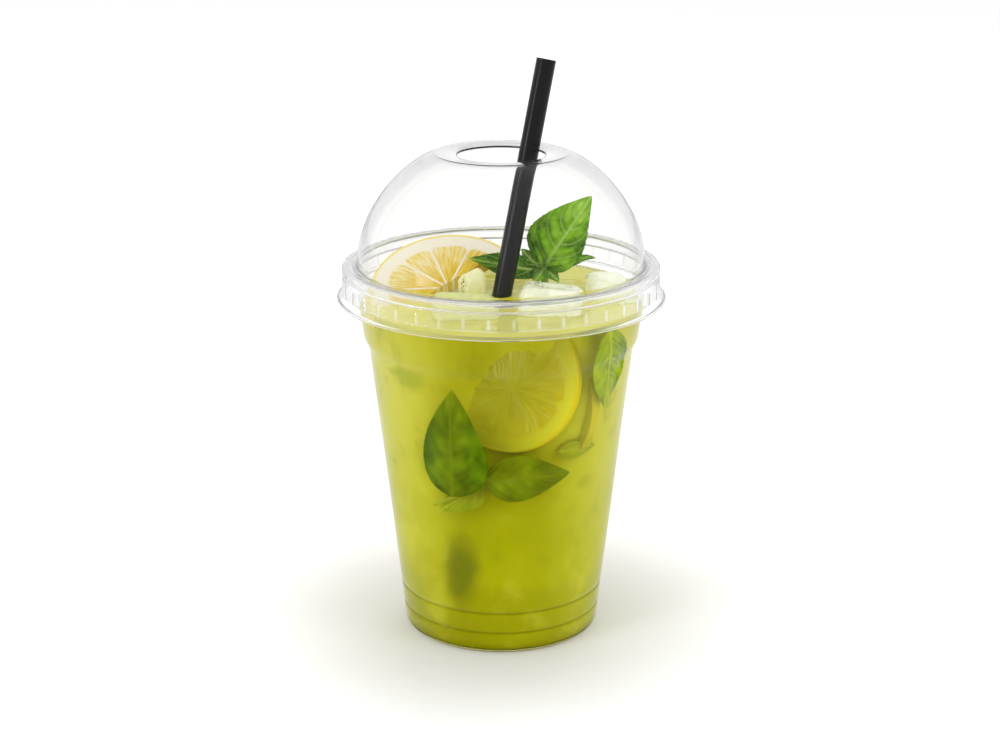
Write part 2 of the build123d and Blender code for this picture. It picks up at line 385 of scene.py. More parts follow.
# Things too deep in the drink to show an outline: middle and reach in metres, strength, colour.
# The straw's foot, a leaf high on the left, the tip of a leaf below the others.
SOFT_SHADES = (
    ((-0.0115, -0.023, 0.0262), (0.0072, 0.02, 0.0160), 0.78, (96, 104, 14)),
    ((-0.0250, -0.019, 0.0870), (0.0055, 0.02, 0.0060), 0.45, (132, 152, 30)),
    ((-0.0105, -0.028, 0.0500), (0.0048, 0.02, 0.0024), 0.50, (100, 122, 14)),
)


def ice_material(name, body, frost, frost_from, least):
    """Clear ice with frosted patches, never less than a share of frost. Fogged where sunk."""
    made, tree = new_material(name)
    place = place_of(tree)
    patches = noise_of(tree, place, 120.0, 2.0, 0.4)
    streaks = noise_of(tree, place, 420.0, 2.0)
    share = step_map(tree, patches, frost_from, frost_from + 0.18, least, 0.97)
    share = maths(tree, "MULTIPLY", share, step_map(tree, streaks, 0.2, 0.7, 0.85, 1.0))
    normal = bumped(tree, patches, 0.08, 0.001)
    clear = bsdf(tree, "Principled", {
        "Base Color": body, "Roughness": 0.22, "IOR": 1.2, "Transmission Weight": 1.0,
        "Normal": normal})
    white = bsdf(tree, "Principled", {
        "Base Color": frost, "Roughness": 0.16, "IOR": 1.31, "Normal": normal})
    ice = lets_light_in(tree, mixed(tree, share, clear, white), srgb(252, 252, 240))
    height = height_of(tree)
    above = step_map(tree, height, (LEVEL - 0.3) * MM, (LEVEL + 0.3) * MM)
    veil = bsdf(tree, "Transparent", {"Color": srgb(253, 253, 240)})
    # The sunk frost's tint is partly painted light from the drink.
    seen = fogged(tree, srgb(214, 222, 190), ICE_FOG)
    sunk_frost = bsdf(tree, "Diffuse", {"Color": seen})
    near_top = step_map(tree, height, *ICE_FADE, 0.0, 0.8)
    sunk = mixed(tree, maths(tree, "MULTIPLY", share, near_top), veil, sunk_frost)
    finish_material(tree, mixed(tree, above, sunk, ice))
    return made


def lemon_material(name, fog_depth=None):
    """Rind, pith and flesh, told apart by what the mesh says of each point."""
    made, tree = new_material(name)
    polar = attribute(tree, "polar", "Vector")
    rind = attribute(tree, "rind")
    flesh = attribute(tree, "flesh")
    cut_near = attribute(tree, "ripe")
    stretched = add(tree, "Mapping", {0: polar, 3: (1.0, 0.22, 1.0)}).outputs[0]
    sacs = noise_of(tree, stretched, 0.85, 3.0, 0.55)
    fine = noise_of(tree, polar, 2.2, 3.0)
    light_flesh = ramp(tree, sacs, [
        (0.30, srgb(238, 206, 92)), (0.46, srgb(247, 226, 138)), (0.60, srgb(252, 240, 186)),
        (0.70, srgb(254, 249, 222))])
    ripe_flesh = ramp(tree, sacs, [
        (0.30, srgb(226, 184, 10)), (0.48, srgb(238, 204, 42)), (0.62, srgb(247, 223, 108)),
        (0.74, srgb(252, 241, 180))])
    flesh_colour = blend(tree, cut_near, light_flesh, ripe_flesh)
    pith_colour = blend(tree, fine, srgb(255, 252, 242), srgb(252, 246, 224))
    rind_colour = blend(tree, fine, srgb(255, 242, 140), srgb(255, 233, 96))
    colour = blend(tree, flesh, pith_colour, flesh_colour)
    colour = blend(tree, rind, colour, rind_colour)
    if fog_depth:
        colour = fogged(tree, colour, fog_depth, 0.03)
    pores = noise_of(tree, polar, 3.2, 1.0)
    height = maths(tree, "ADD", maths(tree, "MULTIPLY", sacs, flesh),
                   maths(tree, "MULTIPLY", pores, maths(tree, "MULTIPLY", rind, 0.6)))
    rough = step_map(tree, flesh, 0.0, 1.0, 0.5, 0.28)
    skin = bsdf(tree, "Principled", {
        "Base Color": colour, "Roughness": rough, "Specular IOR Level": 0.2,
        "Normal": bumped(tree, height, 0.5, 0.0006)})
    glow = bsdf(tree, "Translucent", {"Color": colour})
    finish_material(tree, mixed(tree, 0.25, skin, glow))
    return made


def basil_material(name, dark, middle, pale, vein, fog_depth=None, gloss=0.0):
    """A blade mottled from dark to pale, with its own colour on the veins."""
    made, tree = new_material(name)
    place = place_of(tree)
    veins = attribute(tree, "vein")
    mottle = noise_of(tree, place, 190.0, 4.0)
    broad = noise_of(tree, place, 60.0, 2.0)
    tone = maths(tree, "ADD", maths(tree, "MULTIPLY", mottle, 0.9),
                 maths(tree, "MULTIPLY", broad, 0.9))
    tone = maths(tree, "SUBTRACT", tone, 0.4)
    tone = maths(tree, "MULTIPLY_ADD", attribute(tree, "crown"), 0.30, tone)
    blade = ramp(tree, tone, [(0.40, dark), (0.60, middle), (0.88, pale)])
    colour = blend(tree, veins, blade, vein)
    if fog_depth:
        colour = fogged(tree, colour, fog_depth)
    pores = noise_of(tree, place, 900.0, 2.0)
    rough = step_map(tree, mottle, 0.3, 0.7, 0.32, 0.5)
    blade_skin = bsdf(tree, "Principled", {
        "Base Color": colour, "Roughness": rough, "Specular IOR Level": gloss,
        "Normal": bumped(tree, pores, 0.12, 0.0003)})
    glow = bsdf(tree, "Translucent", {"Color": colour})
    finish_material(tree, mixed(tree, 0.3, blade_skin, glow))
    return made


# ---- mesh helpers
def grid_faces(rows, columns, wrap=False):
    """Faces of a grid of points given row by row. A wrapped one joins its last row to its first."""
    faces = []
    for i in range(rows if wrap else rows - 1):
        a = i * columns
        b = (i + 1) % rows * columns
        faces += [(a + j, a + j + 1, b + j + 1, b + j) for j in range(columns - 1)]
    return faces


def put(name, data):
    """A new object in the scene."""
    made = bpy.data.objects.new(name, data)
    bpy.context.scene.collection.objects.link(made)
    return made


MERGE_WITHIN = 1e-7       # points nearer than this, in metres, become one


def make_piece(name, parts, material, replaced=()):
    """Joins (points in mm, faces, {attribute: values}) parts into one piece on the root body."""
    mesh = bpy.data.meshes.new(name)
    points = []
    faces = []
    values = {}
    for part_points, part_faces, part_values in parts:
        start = len(points)
        points += [tuple(float(c) * MM for c in p) for p in part_points]
        faces += [tuple(start + k for k in face) for face in part_faces]
        for key, value in part_values.items():
            values.setdefault(key, []).extend(value)
    mesh.from_pydata(points, [], faces)
    for key, value in values.items():
        flat = np.asarray(value, float)
        kind = "FLOAT_VECTOR" if flat.ndim == 2 else "FLOAT"
        field = "vector" if flat.ndim == 2 else "value"
        mesh.attributes.new(key, kind, "POINT").data.foreach_set(field, flat.ravel())
    shape = bmesh.new()
    shape.from_mesh(mesh)
    bmesh.ops.remove_doubles(shape, verts=shape.verts, dist=MERGE_WITHIN)
    bmesh.ops.dissolve_degenerate(shape, edges=shape.edges, dist=MERGE_WITHIN)
    bmesh.ops.recalc_face_normals(shape, faces=shape.faces)
    shape.to_mesh(mesh)
    shape.free()
    mesh.polygons.foreach_set("use_smooth", [True] * len(mesh.polygons))
    made = put(name, mesh)
    made.data.materials.append(material)
    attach(made, "root")
    if replaced:
        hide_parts(*replaced)


def rounded(points, radii, steps=5):
    """A line of (radius, height) points with its inner corners rounded."""
    line = [points[0]]
    for before, corner, after, radius in zip(points, points[1:], points[2:], radii):
        here = Vector(corner)
        back = (Vector(before) - here).normalized()
        on = (Vector(after) - here).normalized()
        half = back.angle(on) / 2
        reach = radius / np.tan(half)
        middle = here + (back + on).normalized() * (radius / sin(half))
        first = here + back * reach - middle
        last = here + on * reach - middle
        turn = first.angle_signed(last)
        for k in range(steps + 1):
            line.append(tuple(middle + Matrix.Rotation(-turn * k / steps, 2) @ first))
    line.append(points[-1])
    return line


def split_line(line, longest):
    """The same line with no stretch longer than a length."""
    dense = [line[0]]
    for a, b in zip(line, line[1:]):
        count = max(1, int(hypot(b[0] - a[0], b[1] - a[1]) / longest + 0.999))
        dense += [(a[0] + (b[0] - a[0]) * k / count, a[1] + (b[1] - a[1]) * k / count)
                  for k in range(1, count + 1)]
    return dense


def lathe(line, angles, moved=None, closed=False):
    """Turns a line of (radius, height) points about the Z axis."""
    columns = len(line)
    points = []
    for angle in angles:
        for r, z in line:
            r_here, z_here = (moved(r, z, angle) if moved else (r, z))
            points.append((r_here * cos(angle), r_here * sin(angle), z_here))
    faces = grid_faces(len(angles), columns, wrap=True)
    if closed:
        for i in range(len(angles)):
            a = i * columns
            b = (i + 1) % len(angles) * columns
            faces.append((a + columns - 1, a, b, b + columns - 1))
    return points, faces, {}


TURNS = 240
ROUND = [2 * pi * k / TURNS for k in range(TURNS)]    # the cup's and the drink's angles


def body_radius(z):
    return FOOT_RADIUS + (BODY_TOP_RADIUS - FOOT_RADIUS) * z / SHOULDER_BOTTOM


def arc(middle, radius, first, last, steps):
    """Points of an arc between two angles in degrees."""
    turns = [radians(first + (last - first) * k / steps) for k in range(steps + 1)]
    return [(middle[0] + radius * cos(t), middle[1] + radius * sin(t)) for t in turns]


def clamped(share):
    return max(0.0, min(1.0, share))


def eased(share):
    """A share from 0 to 1 with a smooth start and end."""
    return share * share * (3 - 2 * share)


def uneven_wall(r, z, angle, least):
    """A pressed plastic wall is never quite round. Points nearer the axis than least stay."""
    if r < least or z > SHOULDER_BOTTOM + 1:
        return r, z
    swell = sin(pi * z / SHOULDER_BOTTOM)
    wander = 0.10 * sin(3 * angle + 0.05 * z + 0.7) + 0.06 * sin(7 * angle - 0.09 * z)
    return r + (wander - 0.12) * swell, z


# ---- cup
def inside_line(wall):
    """Inner outline of the cup from its floor to the rim, wall being the wall's thickness."""
    floor = FOOT_RADIUS - FOOT_RING_WIDTH + wall
    points = [
        (0, FOOT_RECESS + wall), (floor, FOOT_RECESS + wall), (floor + FOOT_SLOPE, wall),
        (body_radius(wall) - wall, wall), (BODY_TOP_RADIUS - wall, SHOULDER_BOTTOM),
        (BAND_RADIUS - wall, SHOULDER_TOP), (WALL_TOP_RADIUS - wall, ROLL_Z)]
    return rounded(points, (0.8, 0.6, 1.2, 2.0, 2.5))


def outside_line():
    """Outer outline of the cup from the middle of its foot to the rim."""
    recess = FOOT_RADIUS - FOOT_RING_WIDTH
    points = [
        (0, FOOT_RECESS), (recess, FOOT_RECESS), (recess + FOOT_SLOPE, 0), (FOOT_RADIUS, 0),
        (BODY_TOP_RADIUS, SHOULDER_BOTTOM), (BAND_RADIUS, SHOULDER_TOP),
        (WALL_TOP_RADIUS, ROLL_Z)]
    return rounded(points, (0.8, 0.6, 1.8, 2.5, 2.0))


def with_rings(line):
    """The outer line with a small groove at each ring near the foot."""
    dense = []
    for r, z in split_line(line, 0.25):
        for height in RING_HEIGHTS:
            off = abs(z - height) / (RING_HEIGHT / 2)
            if r > FOOT_RADIUS - 1 and off < 1:
                r -= RING_DEPTH * (1 - off * off)
        keep = any(abs(z - height) < 0.7 for height in RING_HEIGHTS)
        if not dense or keep or hypot(r - dense[-1][0], z - dense[-1][1]) > 1.4 or z < 2.5:
            dense.append((r, z))
    dense.append(line[-1])
    return dense


def make_cup(material):
    middle = (RIM_RADIUS - RIM_ROLL, ROLL_Z)
    line = inside_line(CUP_WALL)[:-1]
    line += arc(middle, RIM_ROLL, 180, -90, 26)
    line += arc(middle, RIM_ROLL - CUP_WALL, -90, 180, 22)
    line += with_rings(outside_line())[::-1][1:]

    def moved(r, z, angle):
        return uneven_wall(r, z, angle, FOOT_RADIUS)

    make_piece("cup_shell", [lathe(line, ROUND, moved)], material, ["cup"])


# ---- lid
def dome_points(inset, steps=36):
    """From the dome's foot up to its crown, on a face inset from the outer one."""
    reach = DOME_RADIUS - inset - CROWN_RADIUS
    rise = DOME_RISE - inset
    points = []
    for k in range(steps + 1):
        t = pi / 2 * k / steps
        r = CROWN_RADIUS + reach * max(cos(t), 0.0) ** DOME_FULLNESS[0]
        points.append((r, FLANGE_Z + rise * sin(t) ** DOME_FULLNESS[1]))
    return points


def skirt_line(outer):
    """From the dome's foot over the flange and the bead to the skirt's lower edge."""
    wall = 0.0 if outer else LID_WALL
    edge = BEAD_RADIUS - wall
    points = [(DOME_RADIUS - wall, FLANGE_Z + 3.0), (DOME_RADIUS - wall, FLANGE_Z - wall)]
    points += [(DOME_RADIUS + 1.6, FLANGE_Z - wall - 0.1), (edge, BEAD_TOP - wall)]
    points += [(edge, BEAD_TOP - RIB_BOTTOM), (edge + SKIRT_FLARE, BEAD_TOP - SKIRT_HEIGHT)]
    corners = (0.5, 1.5, BEAD_CORNER - wall, 1.0)
    line = split_line(rounded(points, corners, 7)[1:], 0.55)
    groove_z = BEAD_TOP - GROOVE_BELOW_BEAD
    grooved = []
    for r, z in line:
        off = abs(z - groove_z) / 0.45
        dip = GROOVE_DEPTH * (1 - off * off) if off < 1 and r > edge - 0.2 else 0.0
        grooved.append((r - dip, z))
    return grooved


def make_lid(material):
    brim = ((0.0, HOLE_DIP), (0.3, 0.56), (1.0, 0.32), (2.2, 0.14), (4.0, 0.03))
    outer = [(HOLE_RADIUS + out, CROWN_Z - down) for out, down in brim]
    outer += dome_points(0)[::-1][:-1] + skirt_line(True)
    lip = (BEAD_RADIUS + SKIRT_FLARE - LIP_RADIUS / 2 - 0.01,
           BEAD_TOP - SKIRT_HEIGHT + LIP_RADIUS / 2)
    round_lip = arc(lip, LIP_RADIUS, 60, -200, 9)
    inner = skirt_line(False)[::-1] + dome_points(LID_WALL)[1:]
    inner += [(HOLE_RADIUS + 0.1 + out, CROWN_Z - down - LID_WALL) for out, down in brim[::-1]]
    inner += [(HOLE_RADIUS - 0.15, CROWN_Z - HOLE_DIP - LID_WALL / 2)]
    line = [p for p in outer if p[1] > lip[1] + 0.35 or p[0] < BEAD_RADIUS]
    line += round_lip + [p for p in inner if p[1] > lip[1] + 0.3 or p[0] < BEAD_RADIUS - 1]
    pitch = 2 * pi / RIB_COUNT
    spread = [-1.0, -0.75, -0.5, -0.25, 0.0, 0.25, 0.5, 0.75, 1.0, 1.9, 2.9, 3.9]
    half_rib = 1.05 * RIB_WIDTH
    angles = [i * pitch + s * half_rib / BEAD_RADIUS for i in range(RIB_COUNT) for s in spread]
    top, bottom = BEAD_TOP - RIB_TOP + 0.4, BEAD_TOP - RIB_BOTTOM - 0.4

    def moved(r, z, angle):
        """Ribs pressed into the skirt, none quite like the next."""
        if r < BEAD_RADIUS - 1.2 or not bottom < z < top:
            return r, z
        number = round(angle / pitch)
        across = abs(angle - number * pitch) * BEAD_RADIUS / half_rib
        if across >= 1:
            return r, z
        uneven = 0.85 + 0.25 * noise.noise(Vector((number * 1.7, 0.3, 0.0)))
        along = min(z - bottom, top - z, 0.8) / 0.8
        return r + 0.4 * RIB_PROUD * uneven * eased(along) * cos(across * pi / 2) ** 2, z

    make_piece("lid_shell", [lathe(line, angles, moved, closed=True)], material,
               ["lid"])


# ---- drink
def wall_radius(z):
    """Radius of the drink's surface, halfway into the cup's wall."""
    if z > SHOULDER_TOP:
        share = (z - SHOULDER_TOP) / (ROLL_Z - SHOULDER_TOP)
        return BAND_RADIUS + (WALL_TOP_RADIUS - BAND_RADIUS) * share - CUP_WALL / 2
    if z > SHOULDER_BOTTOM:
        share = (z - SHOULDER_BOTTOM) / (SHOULDER_TOP - SHOULDER_BOTTOM)
        return BODY_TOP_RADIUS + (BAND_RADIUS - BODY_TOP_RADIUS) * share - CUP_WALL / 2
    return body_radius(z) - CUP_WALL / 2


def make_drink(clear, cloudy):
    level_radius = wall_radius(LEVEL)
    line = [p for p in inside_line(CUP_WALL / 2) if p[1] < LEVEL - 1]
    line = split_line(line, 2.0)
    line += [(level_radius + 0.02, LEVEL + 0.12), (level_radius - 1.2, LEVEL + 0.03)]
    line += [(level_radius - 2.4 - k, LEVEL) for k in range(int(level_radius) - 3)]
    line.append((0, LEVEL))

    def moved(r, z, angle):
        """The cup's uneven wall, and a liquid surface that isn't dead flat."""
        if z >= LEVEL - 0.01 and r < level_radius - 2:
            x, y = r * cos(angle), r * sin(angle)
            return r, z + 0.16 * noise.noise(Vector((x * 0.11, y * 0.11, 3.1)))
        return uneven_wall(r, z, angle, FOOT_RADIUS - 1)

    make_piece("drink_surface", [lathe(line, ROUND, moved)], clear,
               ["drink"])

    top, foot = LEVEL - 1.2, 1.0
    line = [(0, FOOT_RECESS + 1.5), (23.4, FOOT_RECESS + 1.5), (25.4, foot), (28.8, foot)]
    line += [(29.2, foot + 0.8)]
    line += [(wall_radius(z) - 1.5 + 0.8 * max(0.0, 1 - z / 12), z)
             for z in np.arange(4.0, top - 1.5, 1.6)]
    edge = wall_radius(top) - 1.5
    line += [(edge + 0.5, top - 0.7), (edge - 0.1, top - 0.15)]
    line += [(edge * (1 - k / 24), top) for k in range(1, 24)]
    line.append((0, top))

    def straw_pit(x, y):
        """A hollow in front of the straw, where its sunk part shows as a dark wedge."""
        across = 1 - abs(x - STRAW_AT_LEVEL[0] + 0.6) / 4.6
        ahead = y - STRAW_AT_LEVEL[1] - 3.5
        if across <= 0 or ahead > 0:
            return 0.0
        return max(0.0, PIT_DEPTH * across + min(0.0, ahead + 3.5))

    def lumpy(r, z, angle):
        """Uneven cloud, drawn back where the slices and leaves lie in front of it."""
        if r < 6 or z < 5:
            return r, z
        x, y = cos(angle), sin(angle)
        cloud = noise.noise(Vector((x * 2.0, y * 2.0, z * 0.05))) * 0.6 - 0.4
        front = clamped((0.35 - y) / 0.7) * clamped((z - 20) / 16)
        low_down = clamped((CORE_FULL_FROM - z) / 4)
        back = CORE_BACK * eased(front)
        for turned, height, wide, tall, depth in CORE_DENTS:
            off = abs((angle - radians(turned) + pi) % (2 * pi) - pi) / radians(wide)
            up = abs(z - height) / tall
            if off < 1 and up < 1:
                back += depth * cos(off * pi / 2) ** 2 * cos(up * pi / 2) ** 2
        back *= eased(low_down)
        if z >= top - 0.8:
            return r, z + 0.3 * cloud - straw_pit(r * x, r * y)
        return r + cloud - back, z

    make_piece("drink_cloud", [lathe(line, ROUND, lumpy)], cloudy,
               ["drink"])


CORE_BACK = 6.5           # how far the cloudy inside stays behind the wall at the front
CORE_FULL_FROM = 104.8    # it comes up to the wall again above this height
STRAW_AT_LEVEL = (0.23, -0.85)
PIT_DEPTH = 13.0          # depth of the hollow in front of the straw
# Places where it draws back more, or less: (angle, height, half angle, half height, depth)
CORE_DENTS = ((-90.0, 90.0, 48.0, 34.0, 9.5), (-42.0, 78.0, 22.0, 20.0, -2.5))


# ---- lemon slices
def smooth_step(value, low, high):
    return eased(np.clip((value - low) / (high - low), 0, 1))


def noise_field(x, y, z):
    """Noise at arrays of places."""
    x, y, z = np.broadcast_arrays(x, y, z)
    found = [noise.noise(Vector(p)) for p in zip(x.ravel(), y.ravel(), z.ravel())]
    return np.array(found).reshape(x.shape)


def lemon_values(x, y, radius, parts, seed):
    """Distance and turn from a slice's middle, and the shares of flesh and rind, at points."""
    rr = np.hypot(x, y)
    turn = np.arctan2(y, x)
    uneven = np.array([noise.noise(Vector((k * 2.3, seed, 0.0))) for k in range(parts)])
    edges = (np.arange(parts) + 0.35 * uneven) * 2 * pi / parts
    gap = np.full(x.shape, 9.0)
    for edge in edges:
        gap = np.minimum(gap, np.abs((turn - edge + pi) % (2 * pi) - pi))
    membrane = np.sin(np.minimum(gap, pi / 2)) * rr
    wobble = noise_field(np.cos(turn) * 3, np.sin(turn) * 3, seed + 5)
    flesh_edge = radius * (0.785 + 0.02 * wobble)
    outer = flesh_edge - rr
    corner = 2.6
    inside = np.minimum(membrane - 0.10, outer)
    both = np.maximum(corner - (membrane - 0.10), 0) ** 2 + np.maximum(corner - outer, 0) ** 2
    inside = np.where((membrane < corner) & (outer < corner), corner - np.sqrt(both), inside)
    inside = np.minimum(inside, rr - 0.05 * radius)
    flesh = smooth_step(inside, 0.0, 0.45)
    rind = smooth_step(rr, radius - 1.25 + 0.2 * wobble, radius - 0.75)
    return rr, turn, flesh, rind


def lemon_slice(radius, thickness, parts, seed, cut=None):
    """A slice on the XY plane, its upper face at 0. cut is the (angle, offset) of a half's edge."""
    turns = 260
    edge_round = 0.6
    ts = np.concatenate([np.linspace(0, 0.9, 46, endpoint=False), np.linspace(0.9, 1, 12)])
    if cut:
        angle, offset = radians(cut[0]), cut[1]
        middle = np.array([-sin(angle), cos(angle)]) * offset
        sweep = angle + np.linspace(0, pi, turns)
    else:
        angle, offset = 0.0, 0.0
        middle = np.zeros(2)
        sweep = np.linspace(0, 2 * pi, turns)
    ways = np.stack([np.cos(sweep), np.sin(sweep)], 1)
    along = ways @ middle
    reach = -along + np.sqrt(along**2 + radius**2 - middle @ middle)
    flat = middle + ways[:, None, :] * (reach[:, None] * ts[None, :])[..., None]
    x, y = flat[..., 0], flat[..., 1]
    rr, turn, flesh, rind = lemon_values(x, y, radius, parts, seed)
    lumps = noise_field(np.cos(turn) * 9, np.sin(turn) * 9, rr * 0.25 + seed)
    fall = np.clip((rr - (radius - edge_round)) / edge_round, 0, 1)
    drop = edge_round * (1 - np.sqrt(np.maximum(1 - fall**2, 0)))
    relief = flesh * (-0.30 + 0.28 * lumps) - 0.12 * (1 - rind) * (1 - flesh)
    relief = relief * np.clip(radius - rr, 0, 1)
    far = -x * sin(angle) + y * cos(angle) - offset
    ripe = 1 - smooth_step(far, 1.5, 13.0) if cut else np.full(x.shape, 0.6)

    def values(r_, t_, f_, k_, p_):
        polar = np.stack([t_ * radius, r_, np.full(r_.shape, seed * 7.0)], -1).reshape(-1, 3)
        return {"polar": polar, "flesh": f_.ravel(), "rind": k_.ravel(), "ripe": p_.ravel()}

    upper = np.stack([x, y, relief - drop], -1)
    lower = np.stack([x, y, -thickness - relief + drop], -1)
    columns = len(ts)
    parts_made = []
    face_values = values(rr, turn, flesh, rind, ripe)
    for layer in (upper, lower):
        parts_made.append((layer.reshape(-1, 3), grid_faces(turns, columns), face_values))
    rows = 9
    levels = np.linspace(0, 1, rows)

    def strip(index):
        """Joins the upper and lower faces along one of their borders."""
        a, b = upper[index], lower[index]
        sheet = a[:, None, :] + (b - a)[:, None, :] * levels[None, :, None]
        spread = [np.repeat(v[index][:, None], rows, 1) for v in (rr, turn, flesh, rind, ripe)]
        parts_made.append((sheet.reshape(-1, 3), grid_faces(len(a), rows), values(*spread)))

    strip((slice(None), -1))
    if cut:
        strip((0, slice(None)))
        strip((-1, slice(None)))
    return parts_made


def moved_parts(parts, matrix):
    """Parts carried by a matrix in millimetres."""
    turned = np.array(matrix.to_3x3())
    shift = np.array(matrix.translation)
    return [(np.asarray(points) @ turned.T + shift, faces, values)
            for points, faces, values in parts]


def facing_matrix(middle, normal, spin):
    """Places a slice so that its upper face looks along a normal."""
    turn = Vector(normal).to_track_quat("Z", "Y").to_matrix().to_4x4()
    return Matrix.Translation(middle) @ turn @ Matrix.Rotation(radians(spin), 4, "Z")


def tilted(far_up, right_down):
    """The CAD's own order of turns: about X, then Y."""
    return Matrix.Rotation(radians(far_up), 4, "X") @ Matrix.Rotation(radians(right_down), 4, "Y")


# ---- basil leaves
# Half width of a blade along its length, both as shares
EDGE_ALONG = (0.0, 0.012, 0.035, 0.07, 0.13, 0.22, 0.34, 0.46, 0.62, 0.78, 0.90, 0.965, 1.0)
EDGE_OUT = (0.0, 0.20, 0.38, 0.55, 0.76, 0.93, 1.0, 0.965, 0.79, 0.50, 0.245, 0.10, 0.0)


def basil_leaf(length, widths, rise, seed, veins=5, fold=0.16, wave=0.5, swell=1.25, tone=0.0):
    """A blade on the XY plane: base at the origin, tip along +X, upper side +Z."""
    rows, columns = (110, 49) if length > 9 else (56, 25)
    u = np.linspace(0, 1, rows)
    u = 0.5 * u + 0.5 * (0.5 - 0.5 * np.cos(pi * u))
    v = np.linspace(-1, 1, columns)
    share = np.interp(u, EDGE_ALONG, EDGE_OUT)
    teeth = 1 - 0.035 * (u * 17 % 1.0) * np.sin(pi * u)
    uu, vv = np.meshgrid(u, v, indexing="ij")
    side = np.where(vv > 0, widths[0], widths[1])
    half = (share * teeth)[:, None]
    y = vv * side * np.where(np.abs(vv) > 0.8, half, share[:, None])
    x = uu * length
    bend = (length**2 / 4 + rise**2) / (2 * rise)
    z = rise - bend + np.sqrt(np.maximum(bend**2 - (x - length / 2) ** 2, 0))
    sway = 0.25 * np.sin(uu * pi * 1.6 + seed) * share[:, None]
    y = y + sway
    ahead = 0.16 * np.abs(vv) + 0.20 * np.abs(vv) ** 2.4
    phase = (uu - ahead + 0.03 * np.sign(vv)) * veins + 0.35
    off = np.abs(phase - np.round(phase)) / veins * length * 0.9
    body = np.clip(share[:, None] * 3, 0, 1)
    side_vein = np.exp(-(off / 0.30) ** 2) * (1 - 0.55 * np.abs(vv)) * body
    net = noise_field(x * 0.55, y * 0.55, seed + 3)
    small = np.exp(-(net / 0.07) ** 2) * 0.25 * body
    rib = np.exp(-(np.abs(y - sway) / (0.55 - 0.35 * uu)) ** 2)
    vein = np.clip(np.maximum(np.maximum(rib, 0.75 * side_vein), small), 0, 1)
    quilt = (0.5 - 0.5 * np.cos(2 * pi * phase)) * np.sin(pi * np.abs(vv) ** 0.8) * body
    scale = min(1.0, max(widths) / 8)
    z = z + fold * np.abs(y) * body + swell * scale * quilt * body * (0.75 + 0.6 * net)
    edge_wave = wave * scale * np.sin(uu * 11 + seed + 2 * np.sign(vv)) * np.abs(vv) ** 3
    z = z + edge_wave * body
    flutter = noise_field(x * 0.16, y * 0.16, seed)
    z = z + 0.5 * flutter * body * scale
    thick = 0.16 * (1 - 0.6 * np.abs(vv) ** 4) + 0.22 * rib * (1 - uu)
    # A negative tone darkens the whole blade as painted shade.
    crown = quilt * (1 - np.abs(vv)) + 0.25 * uu + tone
    upper = np.stack([x, y, z + thick * 0.5 - 0.10 * side_vein], -1).reshape(-1, 3)
    lower = np.stack([x, y, z - thick], -1).reshape(-1, 3)
    values = {"vein": vein.ravel(), "crown": crown.ravel()}
    parts = [(upper, grid_faces(rows, columns), values), (lower, grid_faces(rows, columns), values)]
    for column in (0, columns - 1):
        pick = np.arange(rows) * columns + column
        sheet = np.stack([upper[pick], lower[pick]], 1).reshape(-1, 3)
        ends = {key: np.repeat(value[pick], 2) for key, value in values.items()}
        parts.append((sheet, grid_faces(rows, 2), ends))
    return parts


def leaf_matrix(base, tip, facing):
    """As in the CAD: X runs from base to tip, Z as near to the facing way as it can be."""
    along = Vector(tip).normalized()
    across = Vector(facing).cross(Vector(tip))
    up = along.cross(across).normalized()
    side = up.cross(along)
    made = Matrix((along, side, up)).transposed().to_4x4()
    made.translation = base
    return made


def placed_leaf(base, tip, facing, widths, rise, seed, **more):
    length = Vector(tip).length
    return moved_parts(basil_leaf(length, widths, rise, seed, **more),
                       leaf_matrix(base, tip, facing))


def tube(points, radii, pale=0.5):
    """A stem: rings round a line of points, closed at both ends."""
    sides = 14
    line = [Vector(p) for p in points]
    rings = []
    for k, here in enumerate(line):
        way = (line[min(k + 1, len(line) - 1)] - line[max(k - 1, 0)]).normalized()
        first = way.cross(Vector((0.3, 0.2, 0.93))).normalized()
        second = way.cross(first)
        for s in range(sides + 1):
            turn = 2 * pi * s / sides
            rings.append(here + (first * cos(turn) + second * sin(turn)) * radii[k])
    faces = grid_faces(len(line), sides + 1)
    for k in (0, len(line) - 1):
        start = k * (sides + 1)
        faces.append(tuple(range(start, start + sides)))
    count = len(rings)
    return [(np.array([tuple(p) for p in rings]), faces,
             {"vein": [pale] * count, "crown": [0.2] * count})]


def curve_through(points, steps=8):
    """A smooth line through a few points."""
    line = [Vector(p) for p in points]
    line = [2 * line[0] - line[1]] + line + [2 * line[-1] - line[-2]]
    made = []
    for a, b, c, d in zip(line, line[1:], line[2:], line[3:]):
        for k in range(steps):
            t = k / steps
            made.append(0.5 * ((2 * b) + (c - a) * t + (2 * a - 5 * b + 4 * c - d) * t * t
                               + (3 * b - a - 3 * c + d) * t**3))
    made.append(line[-2])
    return made


SPRIG_HEAD = (13.3, 8.2, 112.0)
# Each leaf: tip from the head, facing, half widths, rise
SPRIG_LEAVES = (
    ((14.3, -2.6, 23.9), (-0.25, -1.0, 0.25), (10.3, 8.0), 2.2),
    ((-23.1, -6.4, 5.2), (0.05, 0.8, -0.6), (5.2, 3.6), 1.5),
    ((-7.2, 2.8, 6.0), (-0.3, -0.9, 0.3), (2.8, 2.8), 0.8),
    ((16.2, 4.0, 2.8), (0.0, -0.3, 1.0), (4.3, 4.3), 1.2),
    ((-6.2, 2.6, 1.0), (0.0, -0.5, 0.9), (2.6, 2.6), 0.6),
    ((-3.4, -5.0, -3.2), (0.0, -0.6, 0.8), (2.5, 2.5), 0.7),
    ((4.6, -4.4, -3.0), (0.1, -0.6, 0.8), (2.6, 2.4), 0.7))


